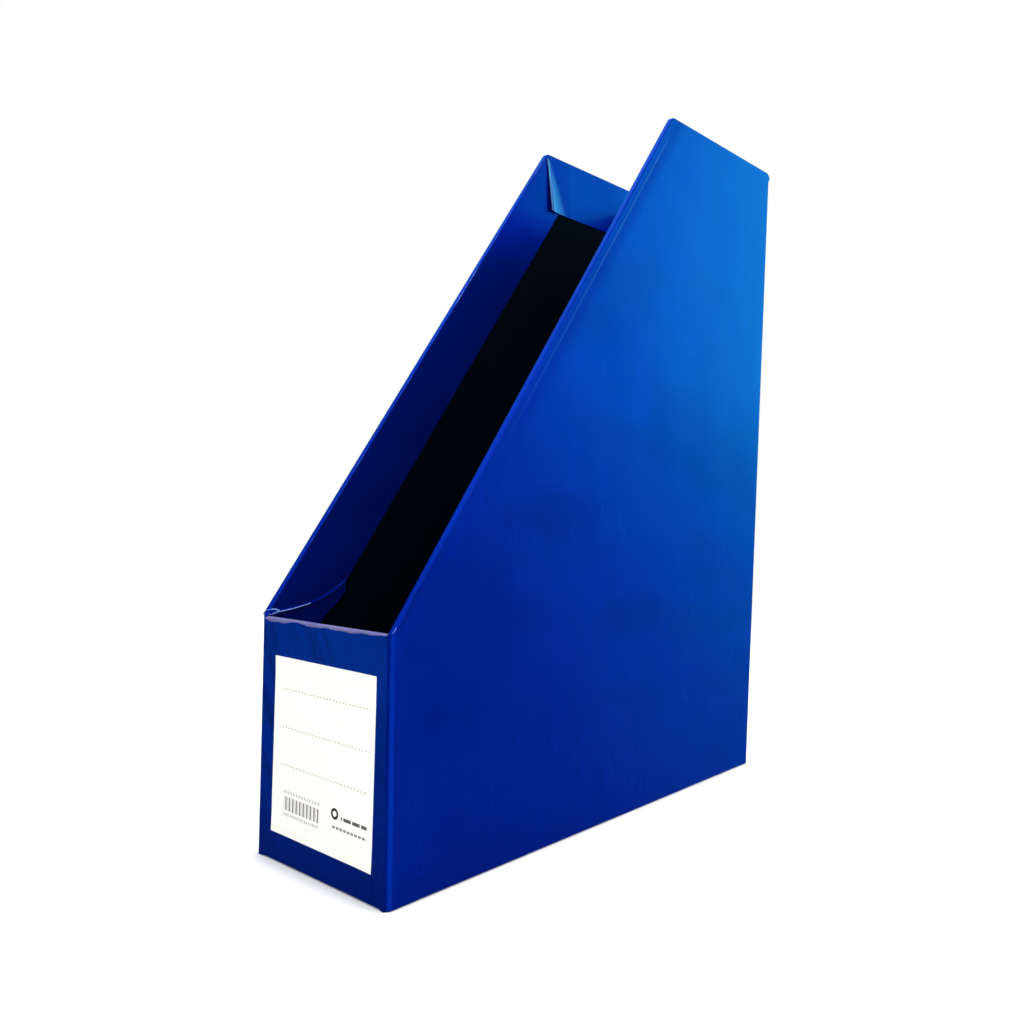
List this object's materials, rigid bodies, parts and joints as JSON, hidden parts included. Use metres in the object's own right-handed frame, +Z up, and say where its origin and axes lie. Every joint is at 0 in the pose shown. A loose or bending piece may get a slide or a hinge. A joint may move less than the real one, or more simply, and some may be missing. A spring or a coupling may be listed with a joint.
{
  "type": "magazine file holder",
  "caption": "Upright magazine file for A4 papers: open-topped rigid board box with slanted side panels, a low labelled front, glossy blue covering and black lining.",
  "frame": {"origin": "middle of the footprint, on the surface that the file stands on", "axes": "+Z up, -Y out of the low front panel, +Y out of the back panel, +X to the right for someone facing the front"},
  "size_m": [0.076, 0.26, 0.316],
  "materials": {
    "greyboard": "uncoated grey chipboard",
    "black_lining": "matte black lining paper",
    "gummed_tape": "brown gummed kraft tape",
    "gloss_cover": "printed royal blue paper under clear gloss film",
    "label_paper": "uncoated warm white label paper"
  },
  "bodies": {
    "root": {"left_side_board": "greyboard", "right_side_board": "greyboard", "back_board": "greyboard", "front_board": "greyboard", "base_board": "greyboard", "left_lining": "black_lining", "right_lining": "black_lining", "back_lining": "black_lining", "front_lining": "black_lining", "base_lining": "black_lining", "front_left_stay": "gummed_tape", "front_right_stay": "gummed_tape", "back_left_stay": "gummed_tape", "back_right_stay": "gummed_tape", "left_base_stay": "gummed_tape", "right_base_stay": "gummed_tape", "back_base_stay": "gummed_tape", "front_base_stay": "gummed_tape", "body_wrap": "gloss_cover", "front_sheet": "gloss_cover", "base_sheet": "gloss_cover", "front_label": "label_paper"}
  },
  "joints": []
}
